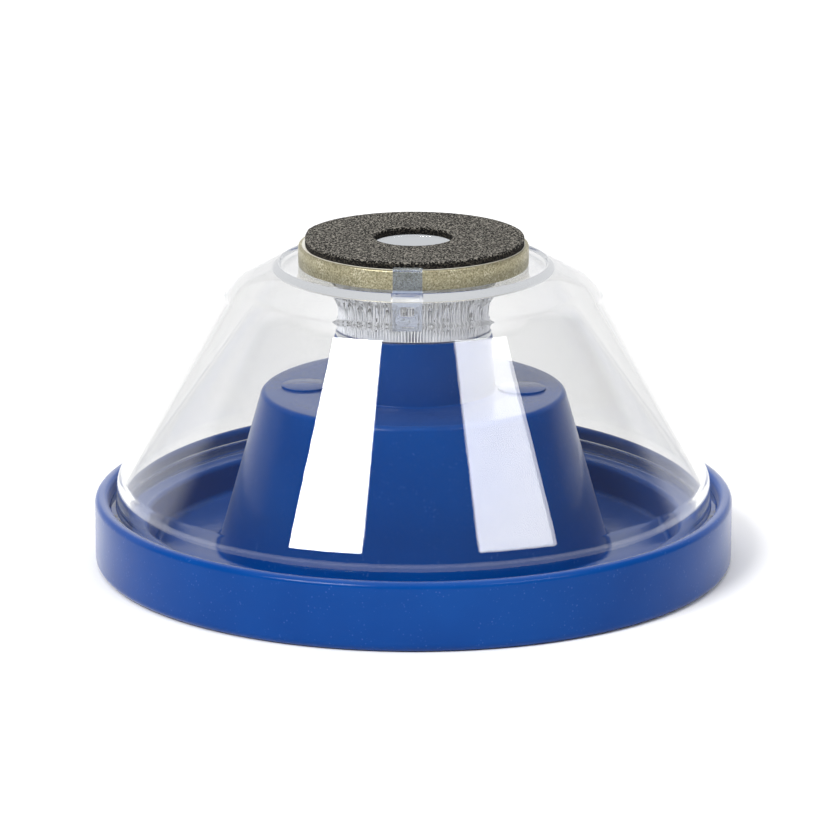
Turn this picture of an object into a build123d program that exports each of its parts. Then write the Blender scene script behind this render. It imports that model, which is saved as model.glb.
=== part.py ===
"""Dust bell for overhead drilling: a blue tray, a clear lift-off dome and a ringed, foam-faced top.

The drill enters from below through the hollow cone, passes the bristle crown on the chimney and
comes out of the hole in the top. Dust falls between dome and cone into the tray's trough.

Frame: millimetres, +Z up, origin at the middle of the plane that the tray stands on.
"""

import os
from math import cos, radians, tan

from build123d import *

# Tray: outer wall, ledge and trough
tray_radius = 60.0
rim_height = 13.0
rim_wall = 2.6
tray_wall = 2.0
ledge_height = 9.0
ledge_width = 7.4
floor_height = 3.0
trough_draft = 1.0
foot_round = 1.6
crest_share = 0.46  # crest rounding as a share of the rim's wall

# Tray: hollow cone and chimney
cone_foot_radius = 36.8
cone_top_radius = 28.4
cone_height = 33.0
chimney_top_radius = 14.6
chimney_taper = 0.7
chimney_height = 45.0
chimney_wall = 2.0
pad_radius = 4.5
pad_height = 0.35
pad_gap = 0.1
pad_count = 2

# Dome: skirt, steep side and shallow top
dome_wall = 2.2
skirt_gap = 1.5
skirt_height = 7.0
skirt_round = 4.3
bead_height = 1.8
bead_clearance = 0.1
shoulder_radius = 34.3
shoulder_round = 7.7
top_slope_deg = 27.0

# Top: pocket, hub, ring, film and foam
pocket_depth = 0.67
pocket_margin = 3.6  # flat land between the ring and the pocket's edge
pocket_floor_wall = 2.0
drill_hole_radius = 7.3
hub_wall = 1.9
hub_drop = 5.0
hub_clearance = 0.1
ring_radius = 21.5
ring_thickness = 3.8
ring_chamfer = 0.3
ring_clearance = 0.1
film_thickness = 0.1
foam_setback = 0.7
foam_thickness = 1.4
foam_hole_clearance = 0.05

# Snap clips that hold the ring
clip_count = 2
clip_start_deg = -90.0
clip_width = 5.4
clip_thickness = 1.2
clip_clearance = 0.15
clip_lip_height = 0.6
clip_lip_gap = 0.15
clip_leg_below_floor = 4.8
barb_depth = 0.75
barb_height = 1.7
window_width = 2.5
window_height = 2.0

# Brush on the chimney's mouth
spigot_clearance = 0.05
spigot_depth = 4.0
holder_wall = 1.4
holder_flange = 1.0
bristle_width = 2.2
bristle_height = 8.6
bristle_top_gap = 0.4

# Small roundings
edge_round = 0.4
corner_round = 1.2

# Sizes that follow from the ones above
rim_inner_radius = tray_radius - rim_wall
trough_radius = rim_inner_radius - ledge_width
cone_draft = (cone_foot_radius - cone_top_radius) / (cone_height - floor_height)
cone_skin = tray_wall * (1 + cone_draft**2) ** 0.5
chimney_foot_radius = chimney_top_radius + chimney_taper
chimney_bore_radius = chimney_top_radius - chimney_wall
pad_circle_radius = chimney_foot_radius + edge_round + pad_gap + pad_radius
skirt_radius = rim_inner_radius - skirt_gap
skirt_top = ledge_height + skirt_height
bead_radius = rim_inner_radius - bead_clearance
holder_top = chimney_height + holder_flange
pocket_underside = holder_top + bristle_height + bristle_top_gap
pocket_floor_height = pocket_underside + pocket_floor_wall
pocket_radius = ring_radius + pocket_margin
hub_radius = drill_hole_radius + hub_wall
ring_top = pocket_floor_height + ring_thickness
foam_base = ring_top + film_thickness
foam_radius = ring_radius - foam_setback
top_slope = tan(radians(top_slope_deg))
pocket_edge_height = pocket_floor_height + pocket_depth
shoulder_height = pocket_edge_height - (shoulder_radius - pocket_radius) * top_slope
clip_inner_radius = ring_radius + ring_clearance + clip_clearance
clip_outer_radius = clip_inner_radius + clip_thickness
slot_width = clip_width + 2 * clip_clearance
slot_inner_radius = clip_inner_radius - clip_clearance
slot_depth = clip_outer_radius + clip_clearance - slot_inner_radius
clip_angles = [clip_start_deg + 360 / clip_count * turn for turn in range(clip_count)]
spigot_radius = chimney_bore_radius - spigot_clearance
holder_bore_radius = spigot_radius - holder_wall
bristle_outer_radius = chimney_top_radius - edge_round


def inset_corner(before, corner, after, thickness):
    """Corner of a wall's inner face, for an outline that runs anticlockwise in radius and height."""
    incoming = (Vector(*corner) - Vector(*before)).normalized()
    outgoing = (Vector(*after) - Vector(*corner)).normalized()
    left_in = Vector(-incoming.Y, incoming.X)
    left_out = Vector(-outgoing.Y, outgoing.X)
    middle = (left_in + left_out).normalized()
    moved = Vector(*corner) + middle * (thickness / middle.dot(left_in))
    return (moved.X, moved.Y)


def circles_at(edges, radius, height, reach=0.05):
    """The circular edges of one radius at one height."""
    circles = edges.filter_by(GeomType.CIRCLE)
    return circles.filter_by(
        lambda edge: abs(edge.radius - radius) < reach and abs(edge.center().Z - height) < reach
    )


os.makedirs("parts", exist_ok=True)

# Tray: one thin-walled moulding, open underneath for the drill chuck
tray_outline = [
    (rim_inner_radius, 0),
    (tray_radius, 0),
    (tray_radius, rim_height),
    (rim_inner_radius, rim_height),
    (rim_inner_radius, ledge_height),
    (trough_radius, ledge_height),
    (trough_radius - trough_draft, floor_height),
    (cone_foot_radius, floor_height),
    (cone_top_radius, cone_height),
    (chimney_foot_radius, cone_height),
    (chimney_top_radius, chimney_height),
    (chimney_bore_radius, chimney_height),
    (chimney_bore_radius, cone_height - tray_wall),
    (cone_top_radius - cone_skin + cone_draft * tray_wall, cone_height - tray_wall),
    (cone_foot_radius - cone_skin + cone_draft * tray_wall, floor_height - tray_wall),
    (trough_radius - trough_draft + tray_wall, floor_height - tray_wall),
    (trough_radius + tray_wall, ledge_height - tray_wall),
    (rim_inner_radius, ledge_height - tray_wall),
]
with BuildPart() as base_tray:
    with BuildSketch(Plane.XZ):
        with BuildLine():
            Polyline(*tray_outline, close=True)
        make_face()
    revolve(axis=Axis.Z)
    rim_outer_edge = circles_at(base_tray.edges(), tray_radius, rim_height)
    rim_inner_edge = circles_at(base_tray.edges(), rim_inner_radius, rim_height)
    fillet(rim_outer_edge + rim_inner_edge, radius=crest_share * rim_wall)
    fillet(circles_at(base_tray.edges(), tray_radius, 0), radius=min(foot_round, 0.7 * rim_wall))
    fillet(circles_at(base_tray.edges(), trough_radius, ledge_height), radius=corner_round)
    fillet(circles_at(base_tray.edges(), trough_radius - trough_draft, floor_height), radius=corner_round)
    fillet(circles_at(base_tray.edges(), cone_foot_radius, floor_height), radius=corner_round)
    fillet(circles_at(base_tray.edges(), cone_top_radius, cone_height), radius=corner_round)
    fillet(circles_at(base_tray.edges(), chimney_foot_radius, cone_height), radius=edge_round)
    fillet(circles_at(base_tray.edges(), chimney_top_radius, chimney_height), radius=edge_round)
    with BuildSketch(Plane.XY.offset(cone_height)):
        with PolarLocations(pad_circle_radius, pad_count):
            Circle(pad_radius)
    extrude(amount=pad_height)
base_tray.part.label = "base_tray"
export_step(base_tray.part, "parts/base_tray.step")

# Dome: clear shell with a shallow pocket on top and a hub tube round the drill
skirt_foot = (skirt_radius, ledge_height)
skirt_corner = (skirt_radius, skirt_top)
shoulder = (shoulder_radius, shoulder_height)
pocket_edge = (pocket_radius, pocket_edge_height)
inner_skirt_corner = inset_corner(skirt_foot, skirt_corner, shoulder, dome_wall)
inner_shoulder = inset_corner(skirt_corner, shoulder, pocket_edge, dome_wall)
top_skin = dome_wall / cos(radians(top_slope_deg))
underside_drop = pocket_edge_height - top_skin - pocket_underside
underside_radius = pocket_radius + underside_drop / top_slope
dome_outline = [
    skirt_foot,
    skirt_corner,
    shoulder,
    pocket_edge,
    (pocket_radius, pocket_floor_height),
    (hub_radius, pocket_floor_height),
    (hub_radius, ring_top),
    (drill_hole_radius, ring_top),
    (drill_hole_radius, pocket_underside - hub_drop),
    (hub_radius, pocket_underside - hub_drop),
    (hub_radius, pocket_underside),
    (underside_radius, pocket_underside),
    inner_shoulder,
    inner_skirt_corner,
    (skirt_radius - dome_wall, ledge_height),
]
with BuildPart() as dome_shell:
    with BuildSketch(Plane.XZ):
        with BuildLine():
            Polyline(*dome_outline, close=True)
        make_face()
    revolve(axis=Axis.Z)
    fillet(circles_at(dome_shell.edges(), *shoulder), radius=shoulder_round)
    fillet(circles_at(dome_shell.edges(), *inner_shoulder), radius=shoulder_round - dome_wall)
    fillet(circles_at(dome_shell.edges(), *skirt_corner), radius=skirt_round)
    fillet(circles_at(dome_shell.edges(), *inner_skirt_corner), radius=skirt_round)
    fillet(circles_at(dome_shell.edges(), *pocket_edge), radius=edge_round)
    # Low bead round the foot, which centres the dome in the tray's rim
    with BuildSketch(Plane.XY.offset(ledge_height)):
        Circle(bead_radius)
        Circle(skirt_radius - dome_wall / 2, mode=Mode.SUBTRACT)
    extrude(amount=bead_height)
    bead_edge = circles_at(dome_shell.edges(), bead_radius, ledge_height + bead_height)
    fillet(bead_edge, radius=edge_round)
    # Slots through the pocket's floor for the clips
    with BuildSketch(Plane.XY.offset(pocket_underside)):
        with PolarLocations(slot_inner_radius, clip_count, start_angle=clip_start_deg):
            Rectangle(slot_depth, slot_width, align=(Align.MIN, Align.CENTER))
    extrude(amount=ring_top - pocket_underside, mode=Mode.SUBTRACT)
dome_shell.part.label = "dome_shell"
export_step(dome_shell.part, "parts/dome_shell.step")

# Metal ring in the pocket
with BuildPart() as metal_ring:
    with BuildSketch(Plane.XY.offset(pocket_floor_height)):
        Circle(ring_radius)
        Circle(hub_radius + hub_clearance, mode=Mode.SUBTRACT)
    extrude(amount=ring_thickness)
    chamfer(metal_ring.edges().filter_by(GeomType.CIRCLE), length=ring_chamfer)
metal_ring.part.label = "metal_ring"
export_step(metal_ring.part, "parts/metal_ring.step")

# Double-sided film that holds the foam on the ring
with BuildPart() as adhesive_film:
    with BuildSketch(Plane.XY.offset(ring_top)):
        Circle(foam_radius)
        Circle(hub_radius + hub_clearance + ring_chamfer, mode=Mode.SUBTRACT)
    extrude(amount=film_thickness)
adhesive_film.part.label = "adhesive_film"
export_step(adhesive_film.part, "parts/adhesive_film.step")

# Foam washer that seals on the ceiling
with BuildPart() as foam_seal:
    with BuildSketch(Plane.XY.offset(foam_base)):
        Circle(foam_radius)
        Circle(drill_hole_radius + foam_hole_clearance, mode=Mode.SUBTRACT)
    extrude(amount=foam_thickness)
foam_seal.part.label = "foam_seal"
export_step(foam_seal.part, "parts/foam_seal.step")

# Snap clips: a lip over the ring's edge, a leg through the slot and a barb under the pocket
leg_foot = pocket_underside - clip_leg_below_floor
barb_foot = pocket_underside - barb_height
clip_outline = [
    (clip_inner_radius, leg_foot),
    (clip_outer_radius, leg_foot),
    (clip_outer_radius, barb_foot),
    (clip_outer_radius + barb_depth, pocket_underside - barb_depth / 2),
    (clip_outer_radius + barb_depth, pocket_underside),
    (clip_outer_radius, pocket_underside),
    (clip_outer_radius, ring_top + clip_lip_height),
    (foam_radius + clip_lip_gap, ring_top + clip_lip_height),
    (foam_radius + clip_lip_gap, ring_top),
    (clip_inner_radius, ring_top),
]
with BuildPart() as ring_clips:
    for angle in clip_angles:
        clip_plane = Plane.XZ.rotated((0, 0, angle))
        with BuildSketch(clip_plane):
            with BuildLine():
                Polyline(*clip_outline, close=True)
            make_face()
        extrude(amount=clip_width / 2, both=True)
        window_plane = Plane.YZ.rotated((0, 0, angle))
        with BuildSketch(window_plane):
            with Locations((0, leg_foot + clip_leg_below_floor / 2)):
                Rectangle(window_width, window_height)
        extrude(amount=2 * clip_outer_radius, mode=Mode.SUBTRACT)
ring_clips.part.label = "ring_clips"
export_step(ring_clips.part, "parts/ring_clips.step")

# Collar that plugs into the chimney and carries the bristles
with BuildPart() as brush_holder:
    with BuildSketch(Plane.XY.offset(chimney_height)):
        Circle(chimney_top_radius - edge_round / 2)
        Circle(holder_bore_radius, mode=Mode.SUBTRACT)
    extrude(amount=holder_flange)
    with BuildSketch(Plane.XY.offset(chimney_height - spigot_depth)):
        Circle(spigot_radius)
        Circle(holder_bore_radius, mode=Mode.SUBTRACT)
    extrude(amount=spigot_depth)
brush_holder.part.label = "brush_holder"
export_step(brush_holder.part, "parts/brush_holder.step")

# Bristles: the space that the standing crown takes, up to just under the pocket
with BuildPart() as bristle_ring:
    with BuildSketch(Plane.XY.offset(holder_top)):
        Circle(bristle_outer_radius)
        Circle(bristle_outer_radius - bristle_width, mode=Mode.SUBTRACT)
    extrude(amount=bristle_height)
bristle_ring.part.label = "bristle_ring"
export_step(bristle_ring.part, "parts/bristle_ring.step")
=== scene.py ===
"""Looks of the overhead-drilling dust bell: tray, clear dome, ring, foam seal, clips and brush.

Lengths are in metres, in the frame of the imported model: +Z up, origin in the middle of the plane
that the tray stands on.
"""

import logging
import math
import random
from collections.abc import Iterable, Sequence
from dataclasses import dataclass, field, replace
from enum import Enum
from typing import Any

import bmesh
import bpy
from mathutils import Matrix, Vector, noise


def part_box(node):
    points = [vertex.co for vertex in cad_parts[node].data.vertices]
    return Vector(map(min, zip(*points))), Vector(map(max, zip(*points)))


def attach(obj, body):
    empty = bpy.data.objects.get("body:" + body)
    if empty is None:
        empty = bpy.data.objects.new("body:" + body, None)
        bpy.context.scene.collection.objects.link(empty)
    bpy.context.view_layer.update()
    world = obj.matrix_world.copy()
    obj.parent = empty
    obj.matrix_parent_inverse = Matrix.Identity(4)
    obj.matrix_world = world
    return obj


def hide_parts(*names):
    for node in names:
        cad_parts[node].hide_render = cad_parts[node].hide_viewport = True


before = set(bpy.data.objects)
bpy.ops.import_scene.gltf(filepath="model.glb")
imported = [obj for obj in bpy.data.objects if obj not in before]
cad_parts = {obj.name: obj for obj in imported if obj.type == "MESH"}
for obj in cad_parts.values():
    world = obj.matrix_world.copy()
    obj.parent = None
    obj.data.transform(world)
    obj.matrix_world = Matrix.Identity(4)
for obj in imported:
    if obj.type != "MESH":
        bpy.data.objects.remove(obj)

LOG = logging.getLogger("dust_bell")
MM = 0.001
UP = Vector((0.0, 0.0, 1.0))
# A vector times this loses its height.
FLAT = (1.0, 1.0, 0.0)
TURN_STEPS = 240
# Distances, in metres, under which vertices are one, and under which they are at one height.
WELD = 1e-7
TOUCH = 1e-6
# Watts that give an area light of one square metre a radiance of 1.
WATTS_PER_RADIANCE = 4.0


class Body(Enum):
    """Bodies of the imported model."""

    TRAY = "tray"
    DOME = "dome"


class Slot(Enum):
    """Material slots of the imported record."""

    BLUE = "blue_plastic"
    CLEAR = "clear_plastic"
    METAL = "ring_metal"
    FILM = "film"
    FOAM = "foam"
    CLIP = "clip_plastic"
    HOLDER = "holder_plastic"
    BRISTLE = "bristle"


# ---------------------------------------------------------------- shader tools


@dataclass(frozen=True)
class Wire:
    """An output socket that takes part in Python expressions."""

    sheet: "NodeSheet"
    socket: bpy.types.NodeSocket

    def _maths(self, operation: str, first: Any, second: Any) -> "Wire":
        """Adds one Math node."""
        return self.sheet.add(
            "ShaderNodeMath", {"operation": operation}, {0: first, 1: second}
        )

    def __add__(self, other: Any) -> "Wire":
        """self + other."""
        return self._maths("ADD", self, other)

    def __radd__(self, other: Any) -> "Wire":
        """other + self."""
        return self._maths("ADD", other, self)

    def __sub__(self, other: Any) -> "Wire":
        """self - other."""
        return self._maths("SUBTRACT", self, other)

    def __rsub__(self, other: Any) -> "Wire":
        """other - self."""
        return self._maths("SUBTRACT", other, self)

    def __mul__(self, other: Any) -> "Wire":
        """self * other."""
        return self._maths("MULTIPLY", self, other)

    def __rmul__(self, other: Any) -> "Wire":
        """other * self."""
        return self._maths("MULTIPLY", other, self)

    def over(self, threshold: Any) -> "Wire":
        """1 where the value is above the threshold, and 0 elsewhere."""
        return self._maths("GREATER_THAN", self, threshold)


class NodeSheet:
    """A node tree that is filled one node at a time."""

    def __init__(self, tree: bpy.types.NodeTree) -> None:
        """Empties the tree.

        Args:
            tree: The tree of a material or a world.
        """
        self.tree = tree
        tree.nodes.clear()

    def add(
        self,
        kind: str,
        settings: dict[str, Any] | None = None,
        values: dict[str | int, Any] | None = None,
        output: str = "",
    ) -> Wire:
        """Adds a node.

        Args:
            kind: The node's type.
            settings: Its own settings, set first.
            values: A value or a Wire for each input socket, by name or index.
            output: The output to return, or the first one in use.

        Returns:
            That output as a Wire.
        """
        node = self.tree.nodes.new(kind)
        for name, value in (settings or {}).items():
            setattr(node, name, value)
        for name, value in (values or {}).items():
            socket = self._input(node, name)
            if isinstance(value, Wire):
                self.tree.links.new(value.socket, socket)
            else:
                socket.default_value = value
        for socket in node.outputs:
            if socket.enabled and output in ("", socket.name):
                return Wire(self, socket)
        return Wire(self, node.outputs[0])

    @staticmethod
    def _input(node: bpy.types.Node, name: str | int) -> bpy.types.NodeSocket:
        """Finds an input socket.

        Args:
            node: The node.
            name: The socket's index, or its name among the sockets in use.

        Returns:
            The socket.
        """
        if isinstance(name, int):
            return node.inputs[name]
        return next(s for s in node.inputs if s.name == name and s.enabled)

    def place(self) -> Wire:
        """Object coordinates."""
        return self.add("ShaderNodeTexCoord", output="Object")

    def part(self, vector: Wire, axis: str) -> Wire:
        """X, Y or Z of a vector."""
        return self.add("ShaderNodeSeparateXYZ", values={0: vector}, output=axis)

    def noise(self, scale: float, detail: float = 2.0, rough: float = 0.5) -> Wire:
        """Noise of that many features to the metre, from 0 to 1."""
        return self.add(
            "ShaderNodeTexNoise",
            values={
                "Vector": self.place(),
                "Scale": scale,
                "Detail": detail,
                "Roughness": rough,
            },
        )

    def cells(self, scale: float) -> Wire:
        """Distance in a Voronoi pattern of that many cells to the metre."""
        return self.add(
            "ShaderNodeTexVoronoi",
            {"feature": "F1"},
            {"Vector": self.place(), "Scale": scale},
            "Distance",
        )

    def span(self, value: Wire, low: float, high: float) -> Wire:
        """The value from low to high stretched to 0 to 1, and held there outside."""
        return self.add(
            "ShaderNodeMapRange",
            {"clamp": True},
            {"Value": value, "From Min": low, "From Max": high},
        )

    def mix(self, factor: Any, first: Any, second: Any) -> Wire:
        """Colour between two colours."""
        return self.add(
            "ShaderNodeMix",
            {"data_type": "RGBA"},
            {"Factor": factor, "A": first, "B": second},
            "Result",
        )

    def times(self, first: Wire, second: Any) -> Wire:
        """Product of two colours."""
        return self.add(
            "ShaderNodeMix",
            {"data_type": "RGBA", "blend_type": "MULTIPLY"},
            {"Factor": 1.0, "A": first, "B": second},
            "Result",
        )

    def bump(self, height: Wire, distance: float, strength: float) -> Wire:
        """Normal of a surface raised by height times distance, in metres."""
        return self.add(
            "ShaderNodeBump",
            values={"Height": height, "Distance": distance, "Strength": strength},
        )

    def plastic(self, **values: Any) -> Wire:
        """Principled shader; words of a socket's name are joined by _."""
        return self.add(
            "ShaderNodeBsdfPrincipled",
            values={socket_name(name): value for name, value in values.items()},
        )

    def passing(self, tint: tuple) -> Wire:
        """Shader that lets rays go straight on, tinted."""
        return self.add("ShaderNodeBsdfTransparent", values={"Color": tint})

    def ray(self, output: str) -> Wire:
        """What the Light Path node says of the ray."""
        return self.add("ShaderNodeLightPath", output=output)

    def blend(self, factor: Wire, first: Wire, second: Wire) -> Wire:
        """Shader between two shaders."""
        return self.add("ShaderNodeMixShader", values={0: factor, 1: first, 2: second})

    def surface(self, shader: Wire) -> None:
        """Shows that shader."""
        node = self.tree.nodes.new("ShaderNodeOutputMaterial")
        self.tree.links.new(shader.socket, node.inputs["Surface"])


def socket_name(words: str) -> str:
    """The Principled shader's socket for a Python keyword.

    Args:
        words: Lower-case words joined by _.

    Returns:
        The socket's name.
    """
    return words.replace("_", " ").title().replace("Ior", "IOR")


def colour(red: int, green: int, blue: int) -> tuple[float, float, float, float]:
    """Scene colour of a display colour.

    Args:
        red: Red, 0 to 255.
        green: Green, 0 to 255.
        blue: Blue, 0 to 255.

    Returns:
        Linear red, green, blue and an alpha of 1.
    """
    linear = [
        part / 12.92 if part <= 0.04045 else ((part + 0.055) / 1.055) ** 2.4
        for part in (red / 255, green / 255, blue / 255)
    ]
    return (*linear, 1.0)


def new_sheet(name: str) -> tuple[bpy.types.Material, NodeSheet]:
    """A material and its empty node tree.

    Args:
        name: The material's name.

    Returns:
        The material and its sheet.
    """
    material = bpy.data.materials.new(name)
    material.use_nodes = True
    return material, NodeSheet(material.node_tree)


# -------------------------------------------------------------------- finishes


@dataclass(frozen=True)
class BluePlastic:
    """Moulded blue plastic: fine-grained, with faint mottling and pale dust specks.

    Faces that look up are glossier. Scales are in features to the metre.
    """

    deep: tuple = colour(1, 58, 129)
    pale: tuple = colour(3, 64, 137)
    dust: tuple = colour(70, 100, 168)
    mottle_scale: float = 45.0
    grain_scale: float = 2600.0
    speck_scale: float = 1200.0
    patch_scale: float = 420.0
    speck_share: float = 0.42
    least_roughness: float = 0.1
    grain_roughness: float = 0.12
    mottle_roughness: float = 0.08
    ior: float = 1.22
    sheen: float = 0.28
    sheen_roughness: float = 0.3
    top_gloss: float = 0.75
    top_ior: float = 1.5
    top_roughness: float = 0.16
    relief: float = 0.00004

    def material(self) -> bpy.types.Material:
        """Builds the finish."""
        material, sheet = new_sheet("blue_plastic")
        mottle = sheet.noise(self.mottle_scale, 3.0, 0.5)
        grain = sheet.noise(self.grain_scale, 2.0, 0.6)
        specks = sheet.span(sheet.cells(self.speck_scale), 0.24, 0.1)
        specks = specks * sheet.span(sheet.noise(self.patch_scale, 2.0), 0.44, 0.62)
        body = sheet.mix(sheet.span(mottle, 0.35, 0.65), self.deep, self.pale)
        facing_up = sheet.part(sheet.add("ShaderNodeNewGeometry", output="Normal"), "Z")
        roughness = sheet.span(grain, 0.2, 0.8) * self.grain_roughness
        roughness = roughness + mottle * self.mottle_roughness + self.least_roughness
        shader = sheet.plastic(
            base_color=sheet.mix(specks * self.speck_share, body, self.dust),
            coat_weight=sheet.span(facing_up, 0.86, 0.99) * self.top_gloss,
            coat_ior=self.top_ior,
            coat_roughness=self.top_roughness,
            roughness=roughness,
            ior=self.ior,
            sheen_weight=self.sheen,
            sheen_roughness=self.sheen_roughness,
            normal=sheet.bump(grain + specks * 0.6, self.relief, 0.3),
        )
        sheet.surface(shader)
        return material


@dataclass(frozen=True)
class ClearPlastic:
    """Clear moulded plastic that lets lamps through, with a faint moulding ripple.

    A ray that has met many surfaces ends on a painted pale glow, an emission that stands in for
    light trapped in the wall. Above seat_height, and in the tube inside tube_radius, it ends so
    many surfaces sooner, so the painted glow shows there sooner. Both are in metres. Scales are in
    features to the metre.
    """

    name: str = "clear_plastic"
    tint: tuple = colour(239, 239, 238)
    lamp_tint: tuple = (0.99, 0.99, 0.99, 1.0)
    painted_glow: tuple = colour(206, 209, 213)
    ior: float = 1.55
    wave_scale: float = 38.0
    ripple: float = 0.00002
    hair_scale: float = 900.0
    hair_roughness: float = 0.04
    frost: float = 0.0
    clearness: float = 1.0
    most_surfaces: float = 4.5
    sooner: float = 2.0
    seat_height: float = 1.0
    tube_radius: float = 0.0

    def material(self) -> bpy.types.Material:
        """Builds the finish."""
        material, sheet = new_sheet(self.name)
        waves = sheet.noise(self.wave_scale, 2.0, 0.4)
        hairs = sheet.noise(self.hair_scale, 3.0, 0.7)
        glass = sheet.plastic(
            base_color=self.tint,
            roughness=sheet.span(hairs, 0.62, 0.9) * self.hair_roughness + self.frost,
            ior=self.ior,
            transmission_weight=self.clearness,
            normal=sheet.bump(waves, self.ripple, 0.5),
        )
        place = sheet.place()
        seat = sheet.part(place, "Z").over(self.seat_height)
        flat = sheet.add("ShaderNodeVectorMath", {"operation": "MULTIPLY"}, {0: place, 1: FLAT})
        radius = sheet.add(
            "ShaderNodeVectorMath", {"operation": "LENGTH"}, {0: flat}, output="Value"
        )
        tube = 1.0 - radius.over(self.tube_radius)
        limit = self.most_surfaces - seat * self.sooner - tube * self.sooner
        # Painted glow: an emission, not a lamp, that deep rays end on, standing in for light
        # trapped in the wall.
        painted_glow_shader = sheet.add("ShaderNodeEmission", values={"Color": self.painted_glow, "Strength": 1.0})
        through = sheet.passing(self.lamp_tint)
        seen = sheet.blend(sheet.ray("Ray Depth").over(limit), glass, painted_glow_shader)
        lit = sheet.blend(sheet.ray("Is Diffuse Ray"), seen, through)
        sheet.surface(sheet.blend(sheet.ray("Is Shadow Ray"), lit, through))
        return material


@dataclass(frozen=True)
class RingMetal:
    """Blasted metal with an olive-gold passivated skin. Scales are in features to the metre."""

    gold: tuple = colour(200, 193, 164)
    olive: tuple = colour(102, 95, 60)
    pale: tuple = colour(220, 214, 190)
    grit_scale: float = 2900.0
    patch_scale: float = 240.0
    metallic: float = 0.8
    least_roughness: float = 0.3
    grit_roughness: float = 0.18
    relief: float = 0.00008

    def material(self) -> bpy.types.Material:
        """Builds the finish."""
        material, sheet = new_sheet("ring_metal")
        grit = sheet.noise(self.grit_scale, 3.0, 0.75)
        patches = sheet.noise(self.patch_scale, 3.0, 0.6)
        body = sheet.mix(sheet.span(grit, 0.3, 0.7), self.olive, self.gold)
        body = sheet.mix(sheet.span(grit * patches, 0.3, 0.48), body, self.pale)
        shader = sheet.plastic(
            base_color=body,
            metallic=self.metallic,
            roughness=sheet.span(grit, 0.2, 0.8) * self.grit_roughness + self.least_roughness,
            normal=sheet.bump(grit, self.relief, 0.55),
        )
        sheet.surface(shader)
        return material


@dataclass(frozen=True)
class OpenFoam:
    """Charcoal open-cell foam: brown-grey struts round near-black pores.

    Painted shade darkens its side below its top, between lit_depth and dark_depth, which are in
    millimetres.
    The pores' near-black is partly the foam's own charcoal and partly painted shade in the holes.
    Scales are in features to the metre.
    """

    strut: tuple = colour(134, 130, 121)
    cell: tuple = colour(30, 28, 25)
    pore_and_shade: tuple = colour(9, 8, 7)
    painted_side_shade: tuple = (0.16, 0.15, 0.14, 1.0)
    pore_scale: float = 2800.0
    strut_scale: float = 2900.0
    lit_depth: float = 0.2
    dark_depth: float = 0.5
    roughness: float = 0.95
    specular: float = 0.25
    relief: float = 0.00025

    def material(self) -> bpy.types.Material:
        """Builds the finish."""
        material, sheet = new_sheet("foam")
        pores = sheet.cells(self.pore_scale)
        fine = sheet.noise(self.strut_scale, 2.0, 0.7)
        # Darker towards each pore's middle: the foam's own charcoal plus painted shade in the
        # holes.
        depth = sheet.span(pores, 0.12, 0.62)
        body = sheet.mix(depth, self.pore_and_shade, self.cell)
        body = sheet.mix(sheet.span(fine * depth, 0.4, 0.49), body, self.strut)
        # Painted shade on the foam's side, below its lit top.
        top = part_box("foam_seal")[1].z
        height = sheet.part(sheet.place(), "Z")
        below = sheet.span(height, top - self.lit_depth * MM, top - self.dark_depth * MM)
        body = sheet.mix(below, body, sheet.times(body, self.painted_side_shade))
        shader = sheet.plastic(
            base_color=body,
            roughness=self.roughness,
            specular_ior_level=self.specular,
            normal=sheet.bump(depth + fine * 0.6, self.relief, 0.9),
        )
        sheet.surface(shader)
        return material


@dataclass(frozen=True)
class Film:
    """Thin milky double-sided film. The scale is in features to the metre."""

    body: tuple = colour(226, 224, 214)
    hazy: tuple = colour(206, 202, 190)
    haze_scale: float = 700.0
    least_roughness: float = 0.25
    haze_roughness: float = 0.2
    relief: float = 0.00002

    def material(self) -> bpy.types.Material:
        """Builds the finish."""
        material, sheet = new_sheet("film")
        haze = sheet.noise(self.haze_scale, 3.0)
        shader = sheet.plastic(
            base_color=sheet.mix(haze, self.body, self.hazy),
            roughness=haze * self.haze_roughness + self.least_roughness,
            normal=sheet.bump(haze, self.relief, 0.4),
        )
        sheet.surface(shader)
        return material


@dataclass(frozen=True)
class Nylon:
    """Pale translucent bristle nylon, which lets part of the lamps' light on.

    The scale is in features to the metre.
    """

    clear: tuple = colour(250, 251, 253)
    milky: tuple = colour(232, 235, 241)
    streak_scale: float = 1300.0
    least_roughness: float = 0.18
    streak_roughness: float = 0.15
    ior: float = 1.53
    clearness: float = 0.05
    lamp_share: float = 0.7

    def material(self) -> bpy.types.Material:
        """Builds the finish."""
        material, sheet = new_sheet("bristle")
        streaks = sheet.noise(self.streak_scale, 2.0)
        shader = sheet.plastic(
            base_color=sheet.mix(streaks, self.milky, self.clear),
            roughness=streaks * self.streak_roughness + self.least_roughness,
            ior=self.ior,
            transmission_weight=self.clearness,
        )
        share = sheet.ray("Is Shadow Ray") * self.lamp_share
        sheet.surface(sheet.blend(share, shader, sheet.passing(self.clear)))
        return material


# ------------------------------------------------------------------ mesh tools


@dataclass(frozen=True)
class Corner:
    """A corner of a turned outline, in millimetres, with its rounding radius."""

    radius: float
    height: float
    rounding: float = 0.0
    segments: int = 8

    @property
    def point(self) -> Vector:
        """Its place in the XZ plane, in metres."""
        return Vector((self.radius, 0.0, self.height)) * MM


def shade(bm: bmesh.types.BMesh, sharp_deg: float = 34.0) -> None:
    """Smooth faces, with a sharp edge where the surface turns by more than an angle.

    Args:
        bm: The mesh.
        sharp_deg: The angle, in degrees.
    """
    for face in bm.faces:
        face.smooth = True
    for edge in bm.edges:
        edge.smooth = edge.calc_face_angle(0.0) < math.radians(sharp_deg)


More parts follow.
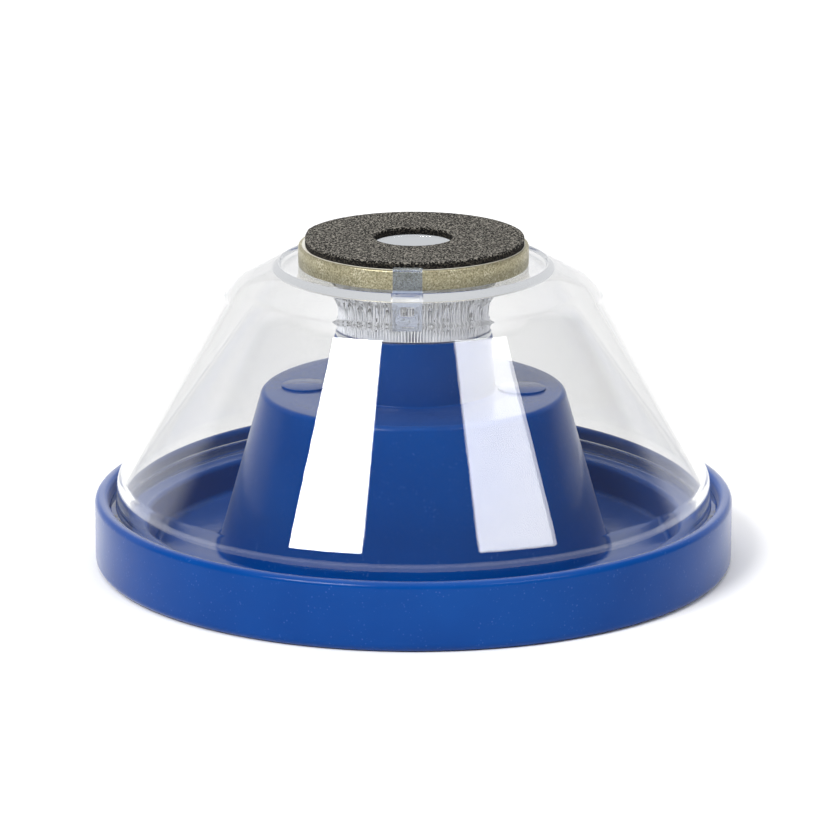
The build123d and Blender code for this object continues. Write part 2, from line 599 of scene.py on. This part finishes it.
def heading(turn_deg: float, rise_deg: float) -> Vector:
    """Unit vector from the object towards a light or the camera.

    Args:
        turn_deg: Its direction round Z, in degrees from +X.
        rise_deg: Its height above the floor's plane, in degrees.

    Returns:
        The vector.
    """
    turn, rise = math.radians(turn_deg), math.radians(rise_deg)
    level = math.cos(rise)
    return Vector((math.cos(turn) * level, math.sin(turn) * level, math.sin(rise)))


def object_of(name: str, bm: bmesh.types.BMesh) -> bpy.types.Object:
    """Puts a mesh in the scene, at the origin.

    Args:
        name: The piece's name.
        bm: Its mesh, which is freed.

    Returns:
        The object.
    """
    mesh = bpy.data.meshes.new(name)
    bm.to_mesh(mesh)
    bm.free()
    piece = bpy.data.objects.new(name, mesh)
    bpy.context.scene.collection.objects.link(piece)
    return piece


def turned_mesh(
    corners: Sequence[Corner], steps: int = TURN_STEPS, longest: float = 3.0
) -> bmesh.types.BMesh:
    """Turns a closed outline about Z.

    Args:
        corners: The outline's corners, with their roundings.
        steps: Steps round the turn.
        longest: Longest edge left in the outline, in millimetres.

    Returns:
        The closed mesh, faces outward.
    """
    bm = bmesh.new()
    verts = [bm.verts.new(corner.point) for corner in corners]
    for first, second in zip(verts, verts[1:] + verts[:1]):
        bm.edges.new((first, second))
    count = len(corners)
    for index, corner in enumerate(corners):
        if not corner.rounding:
            continue
        back = corners[index - 1].point - corner.point
        ahead = corners[(index + 1) % count].point - corner.point
        turn = math.pi - back.angle(ahead)
        bmesh.ops.bevel(
            bm,
            geom=[verts[index]],
            offset=corner.rounding * MM * math.tan(turn / 2),
            offset_type="OFFSET",
            affect="VERTICES",
            segments=corner.segments,
            profile=0.5,
            material=-1,
        )
    for edge in list(bm.edges):
        cuts = int(edge.calc_length() / (longest * MM))
        if cuts:
            bmesh.ops.subdivide_edges(bm, edges=[edge], cuts=cuts)
    bmesh.ops.spin(
        bm,
        geom=bm.verts[:] + bm.edges[:],
        cent=(0.0, 0.0, 0.0),
        axis=UP,
        angle=math.tau,
        steps=steps,
        use_merge=True,
    )
    bmesh.ops.remove_doubles(bm, verts=bm.verts[:], dist=WELD)
    bmesh.ops.recalc_face_normals(bm, faces=bm.faces[:])
    shade(bm)
    return bm


def finish_piece(
    piece: bpy.types.Object,
    body: Body,
    material: bpy.types.Material,
    nodes: Iterable[str] = (),
) -> None:
    """Dresses a piece and ties it to the frame.

    Args:
        piece: The piece.
        body: The body that it rides on.
        material: Its finish.
        nodes: The CAD nodes that it stands for.
    """
    piece.data.materials.clear()
    piece.data.materials.append(material)
    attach(piece, body.value)
    if nodes:
        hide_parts(*nodes)
    LOG.info("%s: %d faces, on %s", piece.name, len(piece.data.polygons), body.value)


# --------------------------------------------------------------- sub-assemblies


@dataclass
class Tray:
    """Blue moulding: rim, ledge, dust trough, hollow cone, chimney and two pads.

    Sizes are in millimetres.
    """

    rim_wall: float = 2.6
    rim_height: float = 13.0
    ledge_height: float = 9.0
    trough_radius: float = 50.0
    trough_draft: float = 1.0
    floor_height: float = 3.0
    cone_foot: float = 36.8
    cone_top: float = 28.4
    cone_height: float = 33.0
    chimney_top: float = 14.6
    chimney_foot: float = 15.3
    wall: float = 2.0
    foot_round: float = 1.6
    bend_round: float = 1.2
    ledge_round: float = 0.5
    chimney_round: float = 0.4
    edge_break: float = 0.2
    pad_radius: float = 4.5
    pad_height: float = 0.35
    pad_circle: float = 20.3
    pad_sink: float = 0.3
    pad_round: float = 0.12
    finish: BluePlastic = field(default_factory=BluePlastic)

    def corners(self) -> list[Corner]:
        """Outline of the moulding, outside first."""
        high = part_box("base_tray")[1]
        outer, chimney_height = high.x / MM, high.z / MM
        draft = (self.cone_foot - self.cone_top) / (self.cone_height - self.floor_height)
        inset = self.wall * (math.hypot(1.0, draft) - draft)
        bore = self.chimney_top - self.wall
        rim_in = outer - self.rim_wall
        trough_foot = self.trough_radius - self.trough_draft
        return [
            Corner(rim_in, 0.0, self.edge_break, 2),
            Corner(outer, 0.0, self.foot_round),
            Corner(outer, self.rim_height, self.bend_round, 10),
            Corner(rim_in, self.rim_height, self.bend_round, 10),
            Corner(rim_in, self.ledge_height, self.ledge_round, 5),
            Corner(self.trough_radius, self.ledge_height, self.bend_round),
            Corner(trough_foot, self.floor_height, self.bend_round),
            Corner(self.cone_foot, self.floor_height, self.bend_round),
            Corner(self.cone_top, self.cone_height, self.bend_round),
            Corner(self.chimney_foot, self.cone_height, self.chimney_round, 4),
            Corner(self.chimney_top, chimney_height, self.chimney_round, 5),
            Corner(bore, chimney_height, self.edge_break, 2),
            Corner(bore, self.cone_height - self.wall),
            Corner(self.cone_top - inset, self.cone_height - self.wall),
            Corner(self.cone_foot - inset, self.floor_height - self.wall),
            Corner(trough_foot + self.wall, self.floor_height - self.wall),
            Corner(self.trough_radius + self.wall, self.ledge_height - self.wall),
            Corner(rim_in, self.ledge_height - self.wall),
        ]

    def pads(self) -> bpy.types.Object:
        """Two low round pads on the cone's flat top."""
        bm = bmesh.new()
        height = self.pad_height + self.pad_sink
        middle = self.cone_height - self.pad_sink + height / 2
        for side in (-1.0, 1.0):
            place = Matrix.Translation(Vector((side * self.pad_circle, 0.0, middle)) * MM)
            made = bmesh.ops.create_cone(
                bm,
                cap_ends=True,
                segments=64,
                radius1=self.pad_radius * MM,
                radius2=self.pad_radius * MM,
                depth=height * MM,
                matrix=place,
            )
            top = max(v.co.z for v in made["verts"])
            rim = [
                edge
                for edge in {e for v in made["verts"] for e in v.link_edges}
                if all(v.co.z > top - TOUCH for v in edge.verts)
            ]
            bmesh.ops.bevel(
                bm,
                geom=rim,
                offset=self.pad_round * MM,
                affect="EDGES",
                segments=3,
                profile=0.5,
                material=-1,
            )
        bmesh.ops.recalc_face_normals(bm, faces=bm.faces[:])
        shade(bm)
        return object_of("tray_pads", bm)

    def build(self) -> None:
        """Builds and dresses the tray."""
        material = self.finish.material()
        body = object_of("tray_moulding", turned_mesh(self.corners()))
        finish_piece(body, Body.TRAY, material, ["base_tray"])
        finish_piece(self.pads(), Body.TRAY, material)


@dataclass
class Dome:
    """Clear shell: skirt with its bead, steep and shallow cones, ring pocket and hub.

    Sizes are in millimetres.
    """

    wall: float = 2.2
    bead_height: float = 1.8
    skirt_gap: float = 1.4
    skirt_height: float = 7.0
    skirt_round: float = 4.3
    shoulder_radius: float = 34.3
    shoulder_round: float = 7.7
    slope_deg: float = 27.0
    pocket_radius: float = 25.1
    pocket_depth: float = 0.67
    pocket_draft: float = 0.3
    pocket_round: float = 0.25
    pocket_floor_wall: float = 2.0
    under_round: float = 1.0
    hub_bore: float = 7.3
    hub_wall: float = 1.9
    hub_foot_rise: float = 41.0
    lip_round: float = 0.3
    bead_round: float = 0.4
    edge_break: float = 0.2
    slot_width: float = 5.7
    slot_near: float = 21.6
    slot_far: float = 23.1
    overcut: float = 0.5
    seat_margin: float = 0.8
    tube_margin: float = 0.05
    finish: ClearPlastic = field(default_factory=ClearPlastic)

    @staticmethod
    def inset(before: Corner, corner: Corner, after: Corner, wall: float) -> Vector:
        """Corner of a wall's inner face.

        Args:
            before: The corner before, outside first.
            corner: The corner.
            after: The corner after.
            wall: The wall's thickness, in millimetres.

        Returns:
            The inner corner's radius and height, in millimetres.
        """
        came = (corner.point - before.point).normalized()
        goes = (after.point - corner.point).normalized()
        left_in = Vector((-came.z, 0.0, came.x))
        left_out = Vector((-goes.z, 0.0, goes.x))
        middle = (left_in + left_out).normalized()
        moved = corner.point / MM + middle * (wall / middle.dot(left_in))
        return Vector((moved.x, moved.z))

    def corners(self) -> list[Corner]:
        """Outline of the shell."""
        low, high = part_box("dome_shell")
        foot, bead, ring_top = low.z / MM, high.x / MM, high.z / MM
        skirt = bead - self.skirt_gap
        slope = math.tan(math.radians(self.slope_deg))
        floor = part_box("metal_ring")[0].z / MM
        under = floor - self.pocket_floor_wall
        edge = floor + self.pocket_depth
        hub_foot = foot + self.hub_foot_rise
        hub = self.hub_bore + self.hub_wall
        skirt_foot = Corner(skirt, foot)
        skirt_corner = Corner(skirt, foot + self.skirt_height, self.skirt_round, 12)
        shoulder = Corner(
            self.shoulder_radius,
            edge - (self.shoulder_radius - self.pocket_radius) * slope,
            self.shoulder_round,
            16,
        )
        pocket_edge = Corner(self.pocket_radius, edge, self.pocket_round, 4)
        inner_skirt = self.inset(skirt_foot, skirt_corner, shoulder, self.wall)
        inner_shoulder = self.inset(skirt_corner, shoulder, pocket_edge, self.wall)
        skin = self.wall / math.cos(math.radians(self.slope_deg))
        under_radius = self.pocket_radius + (edge - skin - under) / slope
        return [
            Corner(bead, foot, self.edge_break, 2),
            Corner(bead, foot + self.bead_height, self.bead_round, 4),
            Corner(skirt, foot + self.bead_height, self.lip_round, 3),
            skirt_corner,
            shoulder,
            pocket_edge,
            Corner(self.pocket_radius - self.pocket_draft, floor, self.edge_break, 3),
            Corner(hub, floor, self.edge_break, 2),
            Corner(hub, ring_top, self.lip_round, 3),
            Corner(self.hub_bore, ring_top, self.lip_round, 3),
            Corner(self.hub_bore, hub_foot, self.lip_round, 3),
            Corner(hub, hub_foot, self.lip_round, 3),
            Corner(hub, under, self.edge_break, 2),
            Corner(under_radius, under, self.under_round, 4),
            Corner(*inner_shoulder, self.shoulder_round - self.wall, 16),
            Corner(*inner_skirt, self.skirt_round, 12),
            Corner(skirt - self.wall, foot, self.lip_round, 3),
        ]

    def slot_cutter(self) -> bpy.types.Object:
        """Two blocks that cut the clips' slots through the pocket's floor."""
        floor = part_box("metal_ring")[0].z / MM
        low, high = floor - self.pocket_floor_wall - self.overcut, floor + self.overcut
        bm = bmesh.new()
        block = bmesh.ops.create_cube(bm, size=1.0)["verts"]
        bmesh.ops.scale(
            bm,
            vec=Vector((self.slot_far - self.slot_near, self.slot_width, high - low)) * MM,
            verts=block,
        )
        bmesh.ops.translate(
            bm,
            vec=Vector(((self.slot_far + self.slot_near) / 2, 0.0, (low + high) / 2)) * MM,
            verts=block,
        )
        bmesh.ops.rotate(bm, verts=block, matrix=Matrix.Rotation(-math.pi / 2, 3, "Z"))
        bmesh.ops.spin(
            bm,
            geom=bm.verts[:] + bm.edges[:] + bm.faces[:],
            axis=UP,
            angle=math.pi,
            steps=1,
            use_duplicate=True,
        )
        bmesh.ops.recalc_face_normals(bm, faces=bm.faces[:])
        return object_of("slot_cutter", bm)

    def build(self) -> None:
        """Builds and dresses the shell."""
        body = object_of("dome_moulding", turned_mesh(self.corners(), longest=2.5))
        cutter = self.slot_cutter()
        cut = body.modifiers.new("slots", "BOOLEAN")
        cut.operation, cut.solver, cut.object = "DIFFERENCE", "EXACT", cutter
        graph = bpy.context.evaluated_depsgraph_get()
        body.data = bpy.data.meshes.new_from_object(body.evaluated_get(graph))
        body.modifiers.clear()
        bpy.data.objects.remove(cutter)
        bm = bmesh.new()
        bm.from_mesh(body.data)
        shade(bm)
        bm.to_mesh(body.data)
        bm.free()
        # Painted glow: the shell's deep rays end on it sooner round the ring's seat and in the hub
        # tube, which look pale.
        finish = replace(
            self.finish,
            seat_height=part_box("metal_ring")[0].z
            - (self.pocket_floor_wall + self.seat_margin) * MM,
            tube_radius=(self.hub_bore + self.hub_wall + self.tube_margin) * MM,
        )
        finish_piece(body, Body.DOME, finish.material(), ["dome_shell"])


@dataclass
class RingAndFilm:
    """Metal ring in the pocket, and the film on it. Sizes are in millimetres."""

    bore: float = 9.3
    chamfer: float = 0.3
    air_gap: float = 0.05
    metal: RingMetal = field(default_factory=RingMetal)
    film: Film = field(default_factory=Film)

    def build(self) -> None:
        """Builds the ring and dresses the film's own CAD node."""
        low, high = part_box("metal_ring")
        outer, foot, top = high.x / MM, low.z / MM + self.air_gap, high.z / MM
        ring = turned_mesh(
            [
                Corner(self.bore, foot, self.chamfer, 2),
                Corner(outer, foot, self.chamfer, 2),
                Corner(outer, top, self.chamfer, 3),
                Corner(self.bore, top, self.chamfer, 2),
            ]
        )
        finish_piece(
            object_of("ring_plate", ring),
            Body.DOME,
            self.metal.material(),
            ["metal_ring"],
        )
        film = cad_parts["adhesive_film"]
        film.data.materials.clear()
        film.data.materials.append(self.film.material())
        LOG.info("adhesive_film: CAD node with its own finish")


@dataclass
class FoamSeal:
    """Hand-cut washer of open-cell foam.

    Sizes are in millimetres. The edges are the outermost and innermost shares of its width.
    """

    hole: float = 7.35
    edge_round: float = 0.2
    edge_share: float = 0.03
    turn_steps: int = 420
    mesh_size: float = 0.34
    pore_depth: float = 0.1
    pores_per_metre: float = 2600.0
    rim_wander: float = 0.16
    wander_scale: float = 3.1
    wander_height: float = 0.3
    flat_angle_deg: float = 186.0
    flat_half_deg: float = 20.0
    flat_depth: float = 0.5
    finish: OpenFoam = field(default_factory=OpenFoam)

    def worn(self, place: Vector, outer: float, foot: float, top: float) -> Vector:
        """Where a point of the plain washer lies on the cut, porous one.

        Args:
            place: The point, in metres.
            outer: The washer's radius, in metres.
            foot: Its underside's height, in metres.
            top: Its top's height, in metres.

        Returns:
            The moved point, inside the plain washer.
        """
        radius, angle = math.hypot(place.x, place.y), math.atan2(place.y, place.x)
        share = (radius / MM - self.hole) / (outer / MM - self.hole)
        off = (angle - math.radians(self.flat_angle_deg) + math.pi) % math.tau - math.pi
        flat = max(0.0, 1.0 - (off / math.radians(self.flat_half_deg)) ** 2)
        around = Vector((math.cos(angle), math.sin(angle), self.wander_height))
        slow = noise.noise(around * self.wander_scale)
        pores = 0.5 + 0.5 * noise.noise(place * self.pores_per_metre)
        depth = self.pore_depth * MM * pores
        cut = share * (self.flat_depth * flat + self.rim_wander * (0.5 + 0.5 * slow)) * MM
        rim = depth if share > 1.0 - self.edge_share else 0.0
        bore = depth if share < self.edge_share else 0.0
        new_radius = radius - cut - rim + bore
        height = place.z - depth if place.z > top - TOUCH else place.z
        scale = new_radius / radius
        return Vector((place.x * scale, place.y * scale, max(height, foot)))

    def build(self) -> None:
        """Builds and dresses the washer."""
        low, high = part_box("foam_seal")
        outer, foot, top = high.x, low.z, high.z
        bm = turned_mesh(
            [
                Corner(self.hole, foot / MM),
                Corner(outer / MM, foot / MM),
                Corner(outer / MM, top / MM, self.edge_round, 2),
                Corner(self.hole, top / MM, self.edge_round, 2),
            ],
            steps=self.turn_steps,
            longest=self.mesh_size,
        )
        for vert in bm.verts:
            vert.co = self.worn(vert.co, outer, foot, top)
        bmesh.ops.recalc_face_normals(bm, faces=bm.faces[:])
        shade(bm, 60.0)
        washer = object_of("foam_washer", bm)
        finish_piece(washer, Body.DOME, self.finish.material(), ["foam_seal"])


@dataclass
class Clips:
    """Snap clips over the ring's edge, with softened edges. Sizes are in millimetres."""

    softening: float = 0.16
    flat_deg: float = 1.0
    edge_deg: float = 40.0
    sharp_deg: float = 50.0
    finish: ClearPlastic = field(
        default_factory=lambda: ClearPlastic(
            name="clip_plastic", tint=colour(204, 213, 232), ior=1.5, frost=0.02, clearness=0.96
        )
    )

    def build(self) -> None:
        """Builds the clips from a merged copy of their CAD node."""
        bm = bmesh.new()
        bm.from_mesh(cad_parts["ring_clips"].data)
        bmesh.ops.remove_doubles(bm, verts=bm.verts[:], dist=TOUCH)
        bmesh.ops.dissolve_limit(
            bm, angle_limit=math.radians(self.flat_deg), verts=bm.verts[:], edges=bm.edges[:]
        )
        edges = [e for e in bm.edges if e.calc_face_angle(0.0) > math.radians(self.edge_deg)]
        bmesh.ops.bevel(
            bm,
            geom=edges,
            offset=self.softening * MM,
            affect="EDGES",
            segments=2,
            profile=0.5,
            material=-1,
            clamp_overlap=True,
        )
        shade(bm, self.sharp_deg)
        finish_piece(
            object_of("snap_clips", bm),
            Body.DOME,
            self.finish.material(),
            ["ring_clips"],
        )


@dataclass
class Brush:
    """Clear collar in the chimney's mouth and its crown of bristles.

    Sizes are in millimetres.
    """

    collar_bore: float = 11.15
    collar_flange: float = 14.4
    collar_spigot: float = 12.55
    rows: int = 5
    row_bristles: int = 150
    first_row: float = 12.2
    row_step: float = 0.42
    thickness: float = 0.11
    sections: int = 5
    sides: int = 4
    splay: float = 1.9
    inner_lean: float = 0.15
    lean_range: tuple[float, float] = (0.25, 1.1)
    sway: float = 0.55
    foot_scatter: float = 0.12
    length_range: tuple[float, float] = (0.84, 0.985)
    droop: float = 0.2
    seed: int = 7
    collar: ClearPlastic = field(
        default_factory=lambda: ClearPlastic(
            name="holder_plastic", tint=colour(232, 236, 244), ior=1.5, frost=0.04
        )
    )
    nylon: Nylon = field(default_factory=Nylon)

    def build_collar(self) -> None:
        """Builds and dresses the collar."""
        low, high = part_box("brush_holder")
        foot, top = low.z / MM, high.z / MM
        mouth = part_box("base_tray")[1].z / MM
        collar = turned_mesh(
            [
                Corner(self.collar_bore, foot, 0.15, 2),
                Corner(self.collar_spigot, foot, 0.3, 3),
                Corner(self.collar_spigot, mouth),
                Corner(self.collar_flange, mouth, 0.1, 2),
                Corner(self.collar_flange, top, 0.25, 3),
                Corner(self.collar_bore, top, 0.25, 3),
            ]
        )
        finish_piece(
            object_of("brush_collar", collar),
            Body.TRAY,
            self.collar.material(),
            ["brush_holder"],
        )

    def build_bristles(self) -> None:
        """Builds and dresses the crown, one row of bristles after another."""
        low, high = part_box("bristle_ring")
        reach = high.z - low.z
        dice = random.Random(self.seed)
        bm = bmesh.new()
        for row in range(self.rows):
            radius = (self.first_row + row * self.row_step) * MM
            before = len(bm.verts)
            section = bmesh.ops.create_circle(
                bm,
                cap_ends=True,
                segments=self.sides,
                radius=self.thickness * MM,
                matrix=Matrix.Translation(Vector((radius, 0.0, low.z))),
            )["verts"]
            face = section[0].link_faces[0]
            for _ in range(self.sections):
                raised = bmesh.ops.extrude_face_region(bm, geom=[face])["geom"]
                tops = [g for g in raised if isinstance(g, bmesh.types.BMVert)]
                face = next(g for g in raised if isinstance(g, bmesh.types.BMFace))
                bmesh.ops.translate(
                    bm, vec=Vector((0.0, 0.0, reach / self.sections)), verts=tops
                )
            bm.verts.ensure_lookup_table()
            bmesh.ops.spin(
                bm,
                geom=[
                    *bm.verts[before:],
                    *{e for v in bm.verts[before:] for e in v.link_edges},
                    *{f for v in bm.verts[before:] for f in v.link_faces},
                ],
                axis=UP,
                angle=math.tau * (self.row_bristles - 1) / self.row_bristles,
                steps=self.row_bristles - 1,
                use_duplicate=True,
            )
            bm.verts.ensure_lookup_table()
            size = self.sides * (self.sections + 1)
            for start in range(before, len(bm.verts), size):
                self.bend(bm.verts[start : start + size], low.z, reach, row, dice)
        bmesh.ops.recalc_face_normals(bm, faces=bm.faces[:])
        shade(bm, 60.0)
        finish_piece(
            object_of("brush_bristles", bm),
            Body.TRAY,
            self.nylon.material(),
            ["bristle_ring"],
        )

    def bend(
        self,
        verts: Sequence[bmesh.types.BMVert],
        foot: float,
        reach: float,
        row: int,
        dice: random.Random,
    ) -> None:
        """Leans, curls and shortens one straight bristle.

        Args:
            verts: Its vertices.
            foot: Height of its foot, in metres.
            reach: Its length when straight, in metres.
            row: Its row, from the inside.
            dice: The random source.
        """
        lean = self.inner_lean + (1.0 - self.inner_lean) * row / (self.rows - 1)
        outward = lean * self.splay * dice.uniform(*self.lean_range)
        sideways = dice.gauss(0.0, self.sway)
        shift = dice.uniform(-self.foot_scatter, self.foot_scatter)
        length = dice.uniform(*self.length_range)
        for vert in verts:
            share = (vert.co.z - foot) / reach
            away = Vector((vert.co.x, vert.co.y, 0.0)).normalized()
            along = UP.cross(away)
            curl = share * share
            vert.co += away * (outward * curl + shift) * MM
            vert.co += along * sideways * curl * MM
            vert.co.z = foot + share * length * reach - self.droop * MM * curl * outward

    def build(self) -> None:
        """Builds both."""
        self.build_collar()
        self.build_bristles()


# ---------------------------------------------------------------------- studio


@dataclass(frozen=True)
class Softbox:
    """A rectangular studio light, placed as seen from the object."""

    name: str
    turn_deg: float
    rise_deg: float
    width_deg: float
    height_deg: float
    radiance: float
    distance: float = 5.0
    tilt_deg: float = 0.0

    def build(self, target: Vector, facing_deg: float) -> None:
        """Hangs the light.

        Args:
            target: The point that it faces.
            facing_deg: The camera's own direction from the object, in degrees from +X.
        """
        away = heading(facing_deg + self.turn_deg, self.rise_deg)
        data = bpy.data.lights.new(self.name, "AREA")
        data.shape = "RECTANGLE"
        data.size = 2 * self.distance * math.tan(math.radians(self.width_deg / 2))
        data.size_y = 2 * self.distance * math.tan(math.radians(self.height_deg / 2))
        data.energy = self.radiance * WATTS_PER_RADIANCE * data.size * data.size_y
        light = bpy.data.objects.new(self.name, data)
        light.location = target + away * self.distance
        light.rotation_mode = "QUATERNION"
        roll = Matrix.Rotation(math.radians(self.tilt_deg), 4, "Z").to_quaternion()
        light.rotation_quaternion = (-away).to_track_quat("-Z", "Y") @ roll
        bpy.context.scene.collection.objects.link(light)


@dataclass
class Studio:
    """Pale floor, surroundings bright behind and overhead, two softboxes and the camera.

    Distances are in metres; the lens and sensor are in millimetres. The spans are shares of a
    direction's length, away from the camera and upward.
    """

    camera_distance: float = 1.0
    camera_rise_deg: float = 15.19
    camera_facing_deg: float = -87.2
    lens: float = 231.7
    sensor: float = 36.0
    aim_height: float = 0.0281
    floor_half: float = 6.0
    floor_tone: tuple = (0.88, 0.88, 0.88, 1.0)
    floor_scale: float = 60.0
    floor_roughness: float = 0.9
    floor_variation: float = 0.05
    lean: float = 0.15
    front: tuple = (0.14, 0.14, 0.145, 1.0)
    back: tuple = (1.0, 1.0, 1.01, 1.0)
    back_span: tuple[float, float] = (0.36, 0.5)
    overhead: tuple = (1.75, 1.75, 1.77, 1.0)
    overhead_span: tuple[float, float] = (0.74, 0.93)
    boxes: tuple[Softbox, ...] = (
        Softbox("softbox_left", -39.8, 42.3, 24.8, 11.0, 26.0, tilt_deg=14.0),
        Softbox("softbox_right", 47.2, 40.6, 27.0, 11.0, 6.8, tilt_deg=-19.0),
    )

    def build_floor(self) -> None:
        """Lays the floor."""
        bm = bmesh.new()
        bmesh.ops.create_grid(bm, x_segments=1, y_segments=1, size=self.floor_half)
        floor = object_of("floor", bm)
        material, sheet = new_sheet("floor")
        faint = sheet.noise(self.floor_scale, 2.0)
        sheet.surface(
            sheet.plastic(
                base_color=self.floor_tone,
                roughness=faint * self.floor_variation + self.floor_roughness,
                specular_ior_level=0.0,
            )
        )
        floor.data.materials.append(material)

    def build_world(self) -> None:
        """Surrounds the scene: dark in front, bright behind and brighter overhead."""
        world = bpy.data.worlds.new("surroundings")
        world.use_nodes = True
        sheet = NodeSheet(world.node_tree)
        direction = sheet.add("ShaderNodeTexCoord", output="Generated")
        across = sheet.part(direction, "X")
        away = sheet.part(direction, "Y")
        height = sheet.part(direction, "Z")
        turned = away - across * self.lean
        level = sheet.mix(sheet.span(turned, *self.back_span), self.front, self.back)
        tone = sheet.mix(sheet.span(height, *self.overhead_span), level, self.overhead)
        shader = sheet.add("ShaderNodeBackground", values={"Color": tone, "Strength": 1.0})
        output = world.node_tree.nodes.new("ShaderNodeOutputWorld")
        world.node_tree.links.new(shader.socket, output.inputs["Surface"])
        bpy.context.scene.world = world

    def build_camera(self) -> None:
        """Sets up the camera."""
        away = heading(self.camera_facing_deg, self.camera_rise_deg)
        data = bpy.data.cameras.new("camera")
        data.lens, data.sensor_width = self.lens, self.sensor
        camera = bpy.data.objects.new("camera", data)
        camera.rotation_mode = "QUATERNION"
        camera.location = Vector((0.0, 0.0, self.aim_height)) + away * self.camera_distance
        camera.rotation_quaternion = (-away).to_track_quat("-Z", "Y")
        bpy.context.scene.collection.objects.link(camera)
        bpy.context.scene.camera = camera

    def build(self) -> None:
        """Builds the whole studio."""
        self.build_floor()
        self.build_world()
        target = Vector((0.0, 0.0, self.aim_height))
        for softbox in self.boxes:
            softbox.build(target, self.camera_facing_deg)
        self.build_camera()
        bpy.context.scene.view_settings.view_transform = "Standard"


def main() -> None:
    """Builds every sub-assembly and the studio."""
    logging.basicConfig(level=logging.INFO, format="%(name)s: %(message)s")
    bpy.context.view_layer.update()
    Studio().build()
    for assembly in (Tray(), Dome(), RingAndFilm(), FoamSeal(), Clips(), Brush()):
        LOG.info("building %s", type(assembly).__name__)
        assembly.build()
    bpy.context.view_layer.update()


if __name__ == "__main__":
    main()
